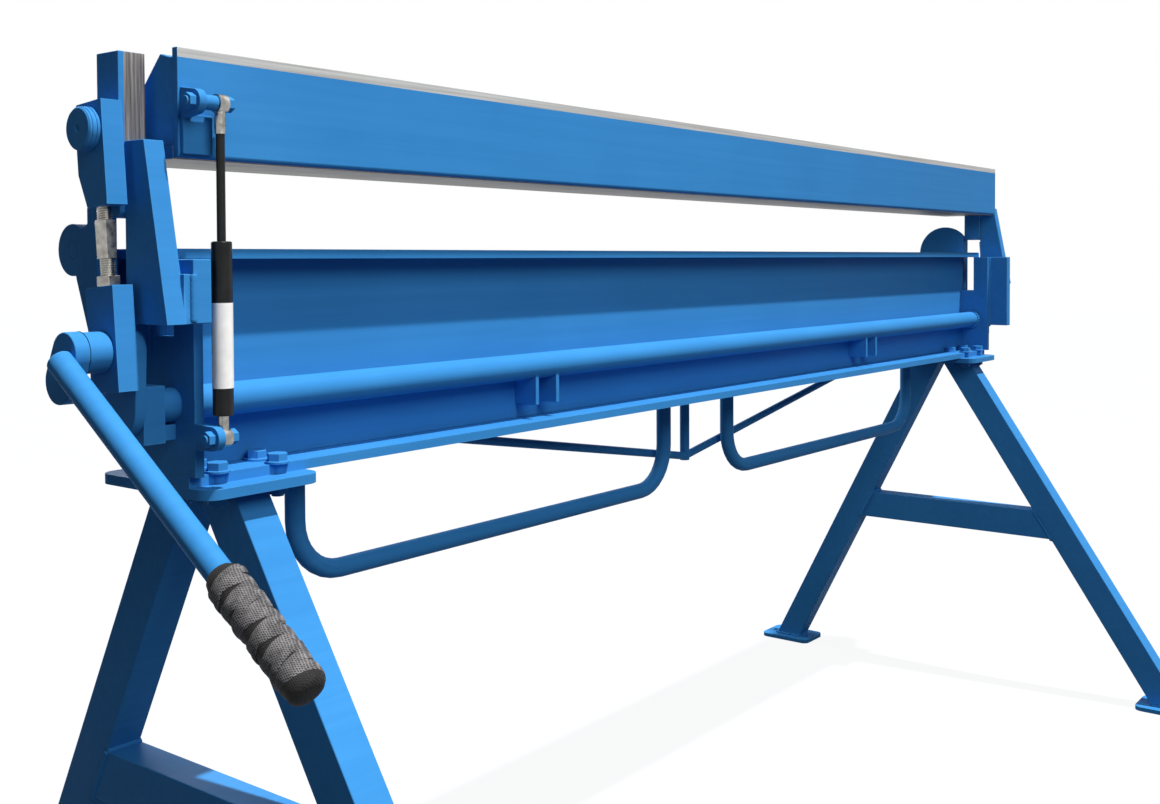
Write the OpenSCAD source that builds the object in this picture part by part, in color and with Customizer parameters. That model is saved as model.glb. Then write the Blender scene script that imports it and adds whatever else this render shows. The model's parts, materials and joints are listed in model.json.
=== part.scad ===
// Roofing sheet metal brake, 2 m class, on two A-frame stands.
// Millimetres. X runs along the beams, -Y is the sheet feed side, Z is up.
// The origin is on the floor, midway between the four feet.

/* [Bed] */
// height of the table top above the floor
table_h = 888; // [700:1:1000]
// bend line, measured in Y from the middle of the stands
bend_y = 80; // [60:1:110]
// length of the table plate
table_len = 2038; // [1200:1:3000]
// width of the table plate
table_w = 78; // [66:1:100]
// thickness of the table plate
table_t = 10; // [6:0.5:16]
// distance from the bend line back to the web's feed side face
web_set = 49.5; // [40:0.5:60]
// web thickness
web_t = 8; // [5:0.5:14]
// distance from the bend line back to the bottom flange's edge
flange_set = 19; // [15:1:25]
// bottom flange width
flange_w = 78; // [70:1:110]
// bottom flange thickness
flange_t = 10; // [6:0.5:16]
// height of the bed from the flange's underside to the table top
bed_h = 219; // [205:1:260]
// end plate thickness
end_t = 10; // [6:0.5:14]
// distance from the table's end in to the end plate's inner face
end_in = 27; // [24:0.5:30]
// end plate width in Y
end_w = 89; // [84:1:96]
// depth of the notch in each end plate's top, below the table plate
notch_h = 71; // [40:1:80]

/* [Stands] */
// distance from the table's end in to the stand's middle
stand_set = 85; // [80:1:300]
// leg tube, size in the plane of the A-frame
leg_a = 50; // [40:1:70]
// leg tube, size along X
leg_b = 40; // [30:1:60]
// leg tube wall
leg_wall = 3; // [2:0.5:5]
// distance of each leg's middle from the stand's middle, at the foot
leg_foot = 410; // [300:1:550]
// distance of each leg's middle from the stand's apex, at the top
leg_top = 31.5; // [30:0.5:45]
// distance from the bend line back to the stand's apex
apex_set = 36; // [30:1:50]
// height of the crossbar's top
bar_top = 361; // [250:1:450]
// crossbar height
bar_h = 55; // [40:1:70]
// stand top plate, size along X
cap_x = 136; // [124:1:160]
// stand top plate, size along Y
cap_y = 176; // [160:1:230]
// stand top plate thickness
cap_t = 10; // [6:0.5:16]
// foot plate, size along X
foot_x = 82; // [60:1:120]
// foot plate, size along Y
foot_y = 115; // [100:1:150]
// foot plate thickness
foot_t = 8; // [5:0.5:14]
// anchor hole diameter in each foot plate
anchor_d = 12; // [8:0.5:16]
// distance from the foot plate's outer edge to the anchor hole
anchor_in = 14; // [10:0.5:18]
// bolt diameter, bed to stand
bolt_d = 12; // [8:1:14]
// bolt spacing along X
bolt_dx = 70; // [66:1:84]
// bolt spacing along Y
bolt_dy = 32; // [28:1:36]

/* [Clamp beam] */
// overhang of the clamp beam past each end of the table
beam_over = 1; // [0.5:0.5:3]
// depth from the rear face to the nose
beam_depth = 110; // [90:1:140]
// distance of the nose behind the bend line
nose_set = 3; // [2.5:0.5:6]
// clamp beam height
beam_h = 99; // [85:1:130]
// rear plate thickness
rear_t = 8; // [5:0.5:12]
// clamp blade thickness
blade_t = 12; // [8:0.5:18]
// wall of the folded shell
shell_t = 5; // [3:0.5:8]
// depth of the shell's crest behind the rear face
crest_y = 26; // [20:1:40]
// beam end plate thickness
cap_end_t = 6; // [4:0.5:10]
// sheet thickness that the beam closes on
sheet_t = 0.5; // [0.4:0.1:2]

/* [Guides] */
// guide bar width along X
guide_x = 27; // [20:1:32]
// guide bar depth in Y
guide_y = 34; // [26:1:40]
// guide bar length
guide_len = 147; // [120:1:150]
// gap between the beam end and the guide bar
guide_gap = 8; // [5:0.5:12]
// upright thickness along X
post_t = 20; // [14:1:22]
// upright depth at its top
post_top = 29; // [24:1:34]
// upright depth at its foot
post_foot = 61; // [50:1:66]
// height of the upright above its foot
post_h = 162; // [140:1:170]
// drop of the upright's foot below the table top
post_drop = 67; // [65:1:72]

/* [Clamp drive] */
// drop of the torsion tube's axis below the table top
shaft_drop = 143.5; // [138:0.5:150]
// distance of the torsion tube's axis behind the bend line
shaft_set = 72; // [70:0.5:76]
// torsion tube diameter
tube_d = 32; // [26:0.5:34]
// distance of the tube supports from the machine's middle
support_x = 468; // [300:1:700]
// width of the tube supports along X
support_w = 46; // [30:1:60]
// thickness of the tube supports' plates
support_t = 6; // [4:0.5:10]
// drop of the tube supports below the torsion tube
support_drop = 31.5; // [20:0.5:40]
// bearing block width in Y
block_w = 40; // [38:1:48]
// bearing block thickness along X
block_t = 22; // [12:0.5:22]
// torsion tube wall
tube_wall = 4; // [3:0.5:6]
// crank radius
crank_r = 53.75; // [52:0.25:55]
// lean of the crank from upright, in the open position
crank_lean = 9.1; // [7:0.1:11]
// turn of the crank from the open to the closed position
crank_turn = 100; // [96:0.5:104]
// crank web thickness
web_crank_t = 11; // [8:0.5:12]
// radius of the crank web's ends
crank_end_r = 19; // [18:0.25:19.5]
// radius of the crank web round the torsion tube
crank_hub_r = 25; // [22:0.5:27]
// crank pin diameter
pin_d = 22; // [16:0.5:26]
// link thickness along X
link_t = 20; // [14:1:26]
// length of the upper link below its pin
link_top_len = 68; // [58:1:76]
// height of the lower link above the crank pin
link_low_len = 57; // [48:1:62]
// length of the lower link below the crank pin
link_foot = 36; // [26:1:40]
// link width in Y
link_w = 42; // [34:1:44]
// lever hub stub diameter
stub_d = 36; // [30:1:38]
// lever hub stub length
stub_len = 36; // [30:1:50]
// lever hub plate thickness
hub_t = 14; // [10:0.5:20]
// drop of the hub plate's lower lobe below the crank pin
hub_drop = 24; // [18:1:30]
// radius of the hub plate's lower lobe
hub_r = 20; // [16:1:22]
// lever tube diameter
lever_d = 22; // [18:0.5:28]
// lever length from the crank pin to the end of the grip
lever_len = 392; // [300:1:450]
// slope of the lever below level, in the open position
lever_slope = 34.5; // [20:0.5:50]
// grip diameter
grip_d = 34; // [28:1:40]
// grip length
grip_len = 132; // [100:1:160]
// height of the upper link pin above the beam's underside
link_pin_h = 24.5; // [20:0.5:32]
// lean of the pull link in Y from the crank pin to the upper pin
link_dy = 17; // [12:0.1:22]
// upper link pin diameter
top_pin_d = 20; // [14:0.5:22]

/* [Apron] */
// apron plate height
apron_h = 150; // [120:1:170]
// apron plate thickness
apron_t = 8; // [5:0.5:12]
// bending lip thickness
lip_t = 20; // [10:0.5:24]
// bending lip height
lip_h = 18; // [10:0.5:26]
// apron flange width
aflange_w = 40; // [36:0.5:46]
// apron flange thickness
aflange_t = 8; // [5:0.5:12]
// hinge pin diameter
hinge_d = 16; // [12:0.5:18]
// radius of the hinge boss
boss_r = 24; // [20:0.5:26]
// radius of the hinge eye on the apron
eye_r = 16; // [14:0.5:18]
// hinge boss width along X
boss_w = 21; // [14:0.5:21]
// width of the hinge post
stop_w = 14; // [10:0.5:16]
// height of the hinge post above the hinge axis
stop_h = 38; // [26:1:50]
// width of the apron's hinge eyes along X
eye_w = 13; // [11:0.5:14]
// drop of the hinge eyes' tails below the hinge axis
eye_drop = 70; // [50:1:90]
// radius of the angle disc
disc_r = 57; // [40:0.5:58]
// thickness of the angle disc
disc_t = 6; // [4:0.5:6.5]
// distance from the hinge axis to the angle disc's straight edge
disc_cut = 41; // [24:0.5:42]
// handle tube diameter
handle_d = 22; // [18:0.5:27]
// distance of the handles' inner legs from the machine's middle
handle_in = 92; // [60:1:140]
// distance from the table's end in to the handles' outer legs
handle_end = 216; // [180:1:420]
// drop of the handles' lower bars below the table top
handle_drop = 355; // [300:1:420]
// handle bend radius, to the middle of the tube
handle_bend = 62; // [40:1:90]
// truss rod diameter
rod_d = 12; // [8:0.5:16]
// truss post diameter
tpost_d = 15; // [14:0.5:20]
// drop of the truss post's foot below the table top
truss_drop = 324; // [280:1:400]
// distance from the table's end in to the truss rods' outer ends
truss_end = 69; // [40:1:400]

/* [Gas spring] */
// distance from the end plate's outer face in to the spring's axis
gas_set = 13; // [11.5:0.5:15]
// distance of the spring's axis from the beam's rear face
gas_off = 18.5; // [17:0.5:30]
// cylinder diameter
gas_d = 18.6; // [15:0.1:22]
// rod diameter
gas_rod_d = 8; // [6:0.5:10]
// height of the upper eye above the beam's underside
gas_top_h = 49.5; // [42:0.5:60]
// height of the lower eye above the stand top plate
gas_low_h = 48; // [40:0.5:55]
// cylinder length
gas_len = 157; // [135:1:165]
// distance from the lower eye to the cylinder's foot
gas_foot = 20; // [18:1:32]
// eye diameter of the rod ends
gas_eye_d = 17; // [14:0.5:20]
// stud diameter in the rod ends
stud_d = 8; // [6:0.5:10]
// lug thickness
lug_t = 8; // [5:0.5:10]

/* [Fits] */
// gap between sliding or turning flat faces
run_gap = 0.5; // [0.3:0.1:1]
// radial running clearance of shafts in bores
run_clr = 0.05; // [0.03:0.01:0.09]
// smoothness of round pieces
facets = 36; // [24:4:72]

/* [Hidden] */
$fn = facets;

paint = [0.16, 0.44, 0.78];
steel = [0.66, 0.66, 0.64];
black = [0.09, 0.09, 0.09];

// derived heights and places
bed_z = table_h - bed_h;
cap_z = bed_z - cap_t;
beam_y = bend_y - nose_set - beam_depth;
table_x = table_len / 2;
beam_x = table_x + beam_over;
stand_x = table_x - stand_set;
handle_out = table_x - handle_end;
truss_out = table_x - truss_end;
table_y1 = bend_y - 0.6;
web_y = bend_y - web_set;
flange_y1 = bend_y - flange_set;
flange_y0 = flange_y1 - flange_w;
end_y1 = flange_y1 + 1;
end_y0 = end_y1 - end_w;
// the bolts' washers stand clear of the web
washer_d = bolt_d * 2;
washer_t = 2.5;
bolt_y = web_y - 1 - washer_d / 2 - bolt_dy / 2;
shaft_y = bend_y - shaft_set;
shaft_z = table_h - shaft_drop;
pin_y = shaft_y - crank_r * sin(crank_lean);
pin_z = shaft_z + crank_r * cos(crank_lean);
// the closed position sets the link's length, and that sets the open height
top_y = pin_y + link_dy;
shut_y = shaft_y - crank_r * sin(crank_lean + crank_turn);
shut_z = shaft_z + crank_r * cos(crank_lean + crank_turn);
top_shut_z = table_h + sheet_t + link_pin_h;
link_len = norm([top_y - shut_y, top_shut_z - shut_z]);
link_lean = asin(link_dy / link_len);
top_z = pin_z + link_len * cos(link_lean);
travel = top_z - top_shut_z;
beam_z = table_h + sheet_t + travel;

// the stack along X, from the bed's end outward
x_end0 = table_x - end_in;
x_end1 = x_end0 + end_t;
x_brk1 = beam_x + 1;
x_guide0 = beam_x + guide_gap;
x_guide1 = x_guide0 + guide_x;
x_post0 = x_guide0 + 2;
x_post1 = x_post0 + post_t;
x_link0 = x_guide1 + run_gap + 1;
x_link1 = x_link0 + link_t;
x_crank1 = x_link0 - run_gap;
x_crank0 = x_crank1 - web_crank_t;
x_stub0 = x_link1 + run_gap;
x_stub1 = x_stub0 + stub_len;
x_lever = x_stub1 + lever_d / 2 - 3;
x_eye0 = beam_x + 1.4;
x_eye1 = x_eye0 + eye_w;
x_boss0 = x_eye1 + run_gap;
x_boss1 = x_boss0 + boss_w;

guide_y0 = top_y - 12.5;
guide_y1 = guide_y0 + guide_y;
guide_z1 = beam_z + beam_h - 4;
guide_z0 = guide_z1 - guide_len;
post_z0 = table_h - post_drop;
post_y1 = guide_y0 - 0.3;

hinge_y = bend_y;
hinge_z = table_h - 1;
apron_y0 = bend_y + 1;
apron_z1 = table_h - 1.5;
apron_z0 = apron_z1 - apron_h;
apron_x = x_eye1;
aflange_y0 = apron_y0 - 16;
aflange_z0 = apron_z0 - aflange_t;
handle_y = apron_y0 - 5;
handle_z = table_h - handle_drop;
truss_y = apron_y0 + 17;
truss_z = table_h - truss_drop;

gas_x = x_end1 - gas_set;
gas_y = beam_y - gas_off;
gas_top_z = beam_z + gas_top_h;
gas_low_z = bed_z + gas_low_h;
gas_z0 = gas_low_z + gas_foot;
rod_eye_w = 10;
rod_end_h = 27;
lug_x0 = gas_x + rod_eye_w / 2 + 0.2;
// the upper lug is at the beam's end
lug_x1 = beam_x - 2 - lug_t;

apex_y = bend_y - apex_set;
// slope of a leg in Y, its middle at a height, and its stretch across Y; side is -1 on the feed side
function leg_run(side) = (apex_y + side * leg_top - side * leg_foot) / (cap_z - foot_t);
function leg_y(side, z) = side * leg_foot + (z - foot_t) * leg_run(side);
function leg_stretch(side) = sqrt(1 + pow(leg_run(side), 2));

module box(a, b) {
  translate(a) cube([b[0] - a[0], b[1] - a[1], b[2] - a[2]]);
}

// round bar along X from x0 to x1 on the axis (y, z)
module xbar(x0, x1, y, z, d, n = facets) {
  translate([x0, y, z]) rotate([0, 90, 0]) cylinder(h = x1 - x0, d = d, $fn = n);
}

// flat shape drawn in (y, z), with a thickness along X from x0 to x1
module xplate(x0, x1) {
  translate([x0, 0, 0]) rotate([90, 0, 90]) linear_extrude(height = x1 - x0) children();
}

// rod between two points
module rod(p, q, d, n = 20) {
  v = q - p;
  l = norm(v);
  translate(p) rotate([0, acos(v[2] / l), atan2(v[1], v[0])]) cylinder(h = l, d = d, $fn = n);
}

module left() {
  mirror([1, 0, 0]) children();
}

// Stands

module leg_outline(side, half, z0, z1) {
  w = half * leg_stretch(side);
  polygon([[leg_y(side, z0) - w, z0], [leg_y(side, z0) + w, z0],
           [leg_y(side, z1) + w, z1], [leg_y(side, z1) - w, z1]]);
}

module leg(side) {
  difference() {
    xplate(stand_x - leg_b / 2, stand_x + leg_b / 2) leg_outline(side, leg_a / 2, foot_t, cap_z);
    xplate(stand_x - leg_b / 2 + leg_wall, stand_x + leg_b / 2 - leg_wall)
      leg_outline(side, leg_a / 2 - leg_wall, foot_t - 1, cap_z + 1);
  }
}

module leg_left_rear() { color(paint) left() leg(-1); }
module leg_left_front() { color(paint) left() leg(1); }
module leg_right_rear() { color(paint) leg(-1); }
module leg_right_front() { color(paint) leg(1); }

// inner face of a leg at a height, where the crossbar is welded
function leg_inner(side, z) = leg_y(side, z) - side * leg_a / 2 * leg_stretch(side);

module crossbar() {
  z0 = bar_top - bar_h;
  z1 = bar_top;
  t = leg_wall;
  difference() {
    xplate(stand_x - leg_b / 2, stand_x + leg_b / 2)
      polygon([[leg_inner(-1, z0), z0], [leg_inner(1, z0), z0],
               [leg_inner(1, z1), z1], [leg_inner(-1, z1), z1]]);
    box([stand_x - leg_b / 2 + t, leg_inner(-1, z0) - 1, z0 + t],
        [stand_x + leg_b / 2 - t, leg_inner(1, z0) + 1, z1 - t]);
  }
}

module crossbar_left() { color(paint) left() crossbar(); }
module crossbar_right() { color(paint) crossbar(); }

module round_plate(x, y, t, r) {
  linear_extrude(height = t) offset(r = r, $fn = 32) square([x - 2 * r, y - 2 * r], center = true);
}

module bolt_places() {
  for (i = [-1, 1]) for (j = [-1, 1])
    translate([stand_x + i * bolt_dx / 2, bolt_y + j * bolt_dy / 2, 0]) children();
}

module top_plate() {
  difference() {
    translate([stand_x, apex_y, cap_z]) round_plate(cap_x, cap_y, cap_t, 18);
    bolt_places() translate([0, 0, cap_z - 1]) cylinder(h = cap_t + 2, d = bolt_d + 0.1);
  }
}

module top_plate_left() { color(paint) left() top_plate(); }
module top_plate_right() { color(paint) top_plate(); }

module foot_plates() {
  color(paint) for (i = [-1, 1]) for (j = [-1, 1]) scale([i, j, 1]) difference() {
    translate([stand_x, leg_foot, 0]) round_plate(foot_x, foot_y, foot_t, 14);
    translate([stand_x, leg_foot + foot_y / 2 - anchor_in, -1]) cylinder(h = foot_t + 2, d = anchor_d);
  }
}

// Bed

module bed_top_plate() {
  color(paint) difference() {
    box([-table_x, table_y1 - table_w, table_h - table_t], [table_x, table_y1, table_h]);
    // the nose of the front edge is eased below
    translate([-table_x - 1, table_y1, table_h - table_t]) rotate([0, 90, 0])
      cylinder(h = table_len + 2, r = table_t * 0.5, $fn = 4);
  }
}

module bed_web() {
  color(paint) box([-x_end0, web_y, bed_z + flange_t], [x_end0, web_y + web_t, table_h - table_t]);
}

module bed_bottom_flange() {
  color(paint) difference() {
    box([-x_end1, flange_y0, bed_z], [x_end1, flange_y1, bed_z + flange_t]);
    for (i = [-1, 1]) scale([i, 1, 1]) bolt_places()
      translate([0, 0, bed_z - 1]) cylinder(h = flange_t + 2, d = bolt_d + 0.1);
  }
}

module end_plate() {
  difference() {
    box([x_end0, end_y0, bed_z + flange_t], [x_end1, end_y1, table_h - table_t]);
    xbar(x_end0 - 1, x_end1 + 1, shaft_y, shaft_z, tube_d + 2 * run_clr);
    // the notch between the upright and the web
    box([x_end0 - 1, post_y1, table_h - table_t - notch_h], [x_end1 + 1, web_y, table_h]);
  }
}

module end_plate_left() { color(paint) left() end_plate(); }
module end_plate_right() { color(paint) end_plate(); }

module side_bracket() {
  box([x_end1, post_y1 - post_foot + 3, post_z0], [x_brk1, post_y1, table_h - table_t]);
}

module side_bracket_left() { color(paint) left() side_bracket(); }

// the far bracket is deeper and reaches further down, beside the torsion tube
module side_bracket_right() {
  y0 = post_y1 - post_foot + 3;
  color(paint) union() {
    side_bracket();
    box([x_end1, y0 - 11, post_z0], [x_brk1, y0 + 1, table_h - table_t]);
    box([x_end1, y0 - 11, shaft_z - 12], [x_brk1, shaft_y - tube_d / 2 - 4, post_z0 + 1]);
  }
}

module upright() {
  z0 = post_z0;
  z1 = z0 + post_h;
  union() {
    xplate(x_post0, x_post1)
      polygon([[post_y1 - post_foot, z0], [post_y1, z0], [post_y1, z1], [post_y1 - post_top, z1]]);
    box([x_brk1, post_y1 - post_foot + 3, z0], [x_post0 + 1, post_y1, z0 + 44]);
  }
}

module upright_left() { color(paint) left() upright(); }
module upright_right() { color(paint) upright(); }

// the arm passes below the angle disc and behind the guide bar, and its plate carries the boss
module hinge_arm() {
  y0 = end_y1 - 21;
  y1 = y0 + stop_w;
  z0 = hinge_z - disc_r - 40;
  z1 = hinge_z - disc_r - 2;
  difference() {
    union() {
      box([x_end1, y0, z0], [x_boss0 + 1, end_y1, z1]);
      xplate(x_boss0, x_boss1) union() {
        translate([hinge_y, hinge_z]) circle(r = boss_r, $fn = 32);
        polygon([[y0, z0], [y0 + 6, z0], [hinge_y - 6, hinge_z - boss_r - 3], [hinge_y, hinge_z],
                 [y1, hinge_z + boss_r], [y1, hinge_z + stop_h], [y0, hinge_z + stop_h]]);
      }
    }
    xbar(x_boss0 - 1, x_boss1 + 1, hinge_y, hinge_z, hinge_d);
  }
}

module hinge_arm_left() { color(paint) left() hinge_arm(); }
module hinge_arm_right() { color(paint) hinge_arm(); }

module hinge_pins() {
  color(paint) for (i = [-1, 1]) scale([i, 1, 1]) xbar(x_eye0, x_boss1, hinge_y, hinge_z, hinge_d);
}

module tube_supports() {
  w = support_w / 2;
  z0 = shaft_z - tube_d / 2 - support_drop;
  color(paint) for (i = [-1, 1]) translate([i * support_x, 0, 0]) difference() {
    box([-w, shaft_y - 12, z0], [w, web_y, shaft_z - 6]);
    box([-w + support_t, shaft_y - 13, z0 - 1], [w - support_t, web_y - support_t, shaft_z]);
    xbar(-w - 1, w + 1, shaft_y, shaft_z, tube_d + 2 * run_clr);
  }
}

// the block is carried on a foot from the end plate
module bearing_block() {
  y0 = shaft_y - block_w / 2;
  y1 = y0 + block_w;
  x1 = x_crank0 - run_gap;
  x0 = x1 - block_t;
  z0 = shaft_z - 32;
  difference() {
    union() {
      box([x_end1, y0 + 14, z0], [x1, y1, shaft_z - tube_d / 2 - 2]);
      box([x0, y0, z0], [x1, y1, shaft_z + 20]);
    }
    xbar(x0 - 1, x1 + 1, shaft_y, shaft_z, tube_d + 2 * run_clr);
  }
}

module bearing_block_left() { color(paint) left() bearing_block(); }
module bearing_block_right() { color(paint) bearing_block(); }

module bed_bolt() {
  translate([0, 0, bed_z + flange_t]) cylinder(h = washer_t, d = washer_d);
  translate([0, 0, bed_z + flange_t + washer_t]) cylinder(h = bolt_d * 0.63, d = bolt_d * 1.73, $fn = 6);
  translate([0, 0, cap_z - bolt_d]) cylinder(h = cap_t + flange_t + washer_t + bolt_d, d = bolt_d);
}

module bed_nut() {
  difference() {
    translate([0, 0, cap_z - bolt_d * 0.8]) cylinder(h = bolt_d * 0.8, d = bolt_d * 1.73, $fn = 6);
    translate([0, 0, cap_z - bolt_d]) cylinder(h = bolt_d * 1.2, d = bolt_d + 0.02);
  }
}

module bed_bolts() {
  color(paint) for (i = [-1, 1]) scale([i, 1, 1]) bolt_places() {
    bed_bolt();
    bed_nut();
  }
}

// Gas spring

module rod_end(z, dir, reach) {
  difference() {
    union() {
      xbar(gas_x - rod_eye_w / 2, gas_x + rod_eye_w / 2, gas_y, z, gas_eye_d);
      translate([gas_x, gas_y, z]) scale([1, 1, dir]) cylinder(h = reach, d = rod_eye_w);
    }
    xbar(gas_x - rod_eye_w, gas_x + rod_eye_w, gas_y, z, stud_d + 2 * run_clr);
  }
}

// stud through a rod end and a lug that starts at x, with a sleeve where the lug is further off
module stud(z, x) {
  eye = rod_eye_w / 2;
  union() {
    xbar(gas_x - eye - 9, x + lug_t + 8, gas_y, z, stud_d);
    xbar(gas_x - eye - 7, gas_x - eye - 0.2, gas_y, z, stud_d * 1.85, 6);
    xbar(x + lug_t, x + lug_t + 6.5, gas_y, z, stud_d * 1.85, 6);
    if (x > lug_x0) xbar(lug_x0, x, gas_y, z, stud_d * 1.7);
  }
}

module lug(z, x, y1, z0, z1) {
  difference() {
    xplate(x, x + lug_t) hull() {
      translate([gas_y, z]) circle(r = stud_d * 1.4, $fn = 32);
      translate([y1 - 1, z0]) square([1, z1 - z0]);
    }
    xbar(x - 1, x + lug_t + 1, gas_y, z, stud_d);
  }
}

module spring_lug_lower() {
  color(paint) left() lug(gas_low_z, lug_x0, end_y0, gas_low_z - 12, gas_low_z + 12);
}

module spring_stud_lower() { color(paint) left() stud(gas_low_z, lug_x0); }
module rod_end_lower() { color(steel) left() rod_end(gas_low_z, 1, gas_foot); }

module gas_cylinder() {
  color(black) left() translate([gas_x, gas_y, gas_z0]) difference() {
    cylinder(h = gas_len, d = gas_d);
    translate([0, 0, 4]) cylinder(h = gas_len - 12, d = gas_d - 2.6);
    translate([0, 0, gas_len - 9]) cylinder(h = 10, d = gas_rod_d + 2 * run_clr);
  }
}

module gas_rod() {
  piston_z = gas_z0 + travel + 8;
  color(black) left() translate([gas_x, gas_y, 0]) union() {
    translate([0, 0, piston_z]) cylinder(h = gas_top_z - rod_end_h - piston_z, d = gas_rod_d);
    translate([0, 0, piston_z]) cylinder(h = 8, d = gas_d - 2.6 - 0.12);
  }
}

module spring_bracket_upper() {
  color(paint) left() union() {
    lug(gas_top_z, lug_x1, beam_y, gas_top_z - 14, gas_top_z + 14);
    box([gas_x - 2, beam_y - 5, beam_z + 4], [beam_x - 2, beam_y, gas_top_z - 10]);
  }
}

module spring_stud_upper() { color(paint) left() stud(gas_top_z, lug_x1); }
module rod_end_upper() { color(steel) left() rod_end(gas_top_z, -1, rod_end_h); }

// Clamp beam

module beam_rear_plate() {
  color(paint) box([-beam_x, beam_y, beam_z + 1], [beam_x, beam_y + rear_t, beam_z + beam_h]);
}

module beam_section(t) {
  translate([beam_y, beam_z]) offset(delta = -t)
    polygon([[rear_t, blade_t], [rear_t, beam_h - 9], [crest_y, beam_h - 4],
             [beam_depth - 10, blade_t + 6], [beam_depth - 10, blade_t]]);
}

module beam_shell() {
  color(paint) xplate(-beam_x + cap_end_t, beam_x - cap_end_t) difference() {
    beam_section(0);
    beam_section(shell_t);
  }
}

module clamp_blade() {
  color(steel) xplate(-beam_x, beam_x) translate([beam_y, beam_z])
    polygon([[rear_t, 0], [beam_depth, 0], [beam_depth, 2], [beam_depth - 10, blade_t], [rear_t, blade_t]]);
}

module beam_end_plates() {
  color(paint) for (i = [-1, 1]) scale([i, 1, 1]) xplate(beam_x - cap_end_t, beam_x) beam_section(0);
}

// the block that joins the bar to the beam stays above the angle disc when the beam is down
module guide_bar() {
  disc_rise = sqrt(max(0, pow(disc_r, 2) - pow(hinge_y - guide_y1, 2)));
  z0 = max(hinge_z + disc_rise + travel + 1.5, beam_z + blade_t + 3);
  union() {
    box([x_guide0, guide_y0, guide_z0], [x_guide1, guide_y1, guide_z1]);
    box([beam_x, guide_y0 + 16, z0], [x_guide0 + 1, guide_y1, z0 + 45]);
  }
}

module guide_bar_left() { color(paint) left() guide_bar(); }
module guide_bar_right() { color(paint) guide_bar(); }

// Clamp drive

module torsion_tube() {
  color(paint) difference() {
    xbar(-x_crank0, x_crank0, shaft_y, shaft_z, tube_d);
    xbar(-x_crank0 + 30, x_crank0 - 30, shaft_y, shaft_z, tube_d - 2 * tube_wall);
  }
}

module crank_webs() {
  color(paint) for (i = [-1, 1]) scale([i, 1, 1]) xplate(x_crank0, x_crank1) hull() {
    translate([shaft_y, shaft_z]) circle(r = crank_hub_r, $fn = 32);
    translate([pin_y, pin_z]) circle(r = crank_end_r, $fn = 32);
  }
}

module crank_pins() {
  color(steel) for (i = [-1, 1]) scale([i, 1, 1]) union() {
    xbar(x_crank1, i < 0 ? x_stub0 : x_link1 + run_gap, pin_y, pin_z, pin_d);
    if (i > 0) xbar(x_link1 + run_gap, x_link1 + run_gap + 9, pin_y, pin_z, pin_d + 12);
  }
}

module hub_shape() {
  union() {
    xbar(x_stub0, x_stub1 - hub_t + 1, pin_y, pin_z, stub_d);
    xplate(x_stub1 - hub_t, x_stub1) hull() {
      translate([pin_y, pin_z]) circle(d = stub_d + 2, $fn = 32);
      translate([shaft_y + 2, pin_z - hub_drop]) circle(r = hub_r, $fn = 32);
    }
  }
}

module lever_hub() { color(paint) left() hub_shape(); }

// the lever is welded to the outer face of the hub plate
module on_lever() {
  translate([-x_lever, pin_y, pin_z]) rotate([90 + lever_slope, 0, 0]) children();
}

// the tube's side is notched over the hub plate
module lever_tube() {
  color(paint) difference() {
    on_lever() difference() {
      translate([0, 0, stub_d / 4]) cylinder(h = lever_len - 8 - stub_d / 4, d = lever_d);
      translate([0, 0, stub_d]) cylinder(h = lever_len, d = lever_d - 5);
    }
    left() hub_shape();
  }
}

module lever_grip() {
  n = 9;
  color(black) on_lever() translate([0, 0, lever_len - grip_len]) difference() {
    rotate_extrude() polygon(concat(
      [[0, 0], [grip_d / 2 - 3.5, 0]],
      [for (i = [0 : n * 4]) [grip_d / 2 - 0.9 + 0.9 * cos(i * 90), 3 + (grip_len - 6) * i / (n * 4)]],
      [[grip_d / 2 - 3.5, grip_len], [0, grip_len]]));
    translate([0, 0, -1]) cylinder(h = grip_len - 7, d = lever_d);
  }
}

// pull link, drawn upright on the crank pin and then leaned to the upper pin
module on_link() {
  translate([0, pin_y, pin_z]) rotate([-link_lean, 0, 0]) children();
}

module upper_link() {
  z0 = link_len - link_top_len;
  on_link() difference() {
    xplate(x_link0, x_link1) polygon([
      [-link_w / 2, z0], [link_w / 2 - 11, z0], [link_w / 2, z0 + 30], [link_w / 2, link_len + 20],
      [link_w / 2 - 4, link_len + 24], [-link_w / 2, link_len + 24]]);
    xbar(x_link0 - 1, x_link1 + 1, 0, link_len, top_pin_d);
    translate([(x_link0 + x_link1) / 2, 0, z0 - 1]) cylinder(h = 15, d = 12);
  }
}

module turnbuckle() {
  xm = (x_link0 + x_link1) / 2;
  z0 = link_len - link_top_len;
  z1 = link_low_len;
  on_link() translate([xm, 0, 0]) union() {
    translate([0, 0, z0 - 46]) cylinder(h = 34, d = 19, $fn = 6);
    translate([0, 0, z1]) cylinder(h = 9, d = 22, $fn = 6);
    translate([0, 0, z1 - 20]) cylinder(h = z0 + 14 - z1 + 20, d = 12);
  }
}

module lower_link() {
  z1 = link_low_len;
  on_link() difference() {
    xplate(x_link0, x_link1) polygon([
      [-link_w / 2, -link_foot], [link_w / 2 - 10, -link_foot], [link_w / 2, -link_foot + 18],
      [link_w / 2, z1], [-link_w / 2, z1]]);
    xbar(x_link0 - 1, x_link1 + 1, 0, 0, pin_d + 2 * run_clr);
    translate([(x_link0 + x_link1) / 2, 0, z1 - 20]) cylinder(h = 21, d = 12);
  }
}

// the upper pivot is left open: its pin stops at the link's inner face
module link_pin() {
  on_link() {
    xbar(x_link0, x_link1, 0, link_len, top_pin_d);
    xbar(x_link1, x_link1 + 4, 0, link_len, top_pin_d + 19);
    xbar(x_link1 + 4, x_link1 + 11, 0, link_len, top_pin_d + 13);
  }
}

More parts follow.
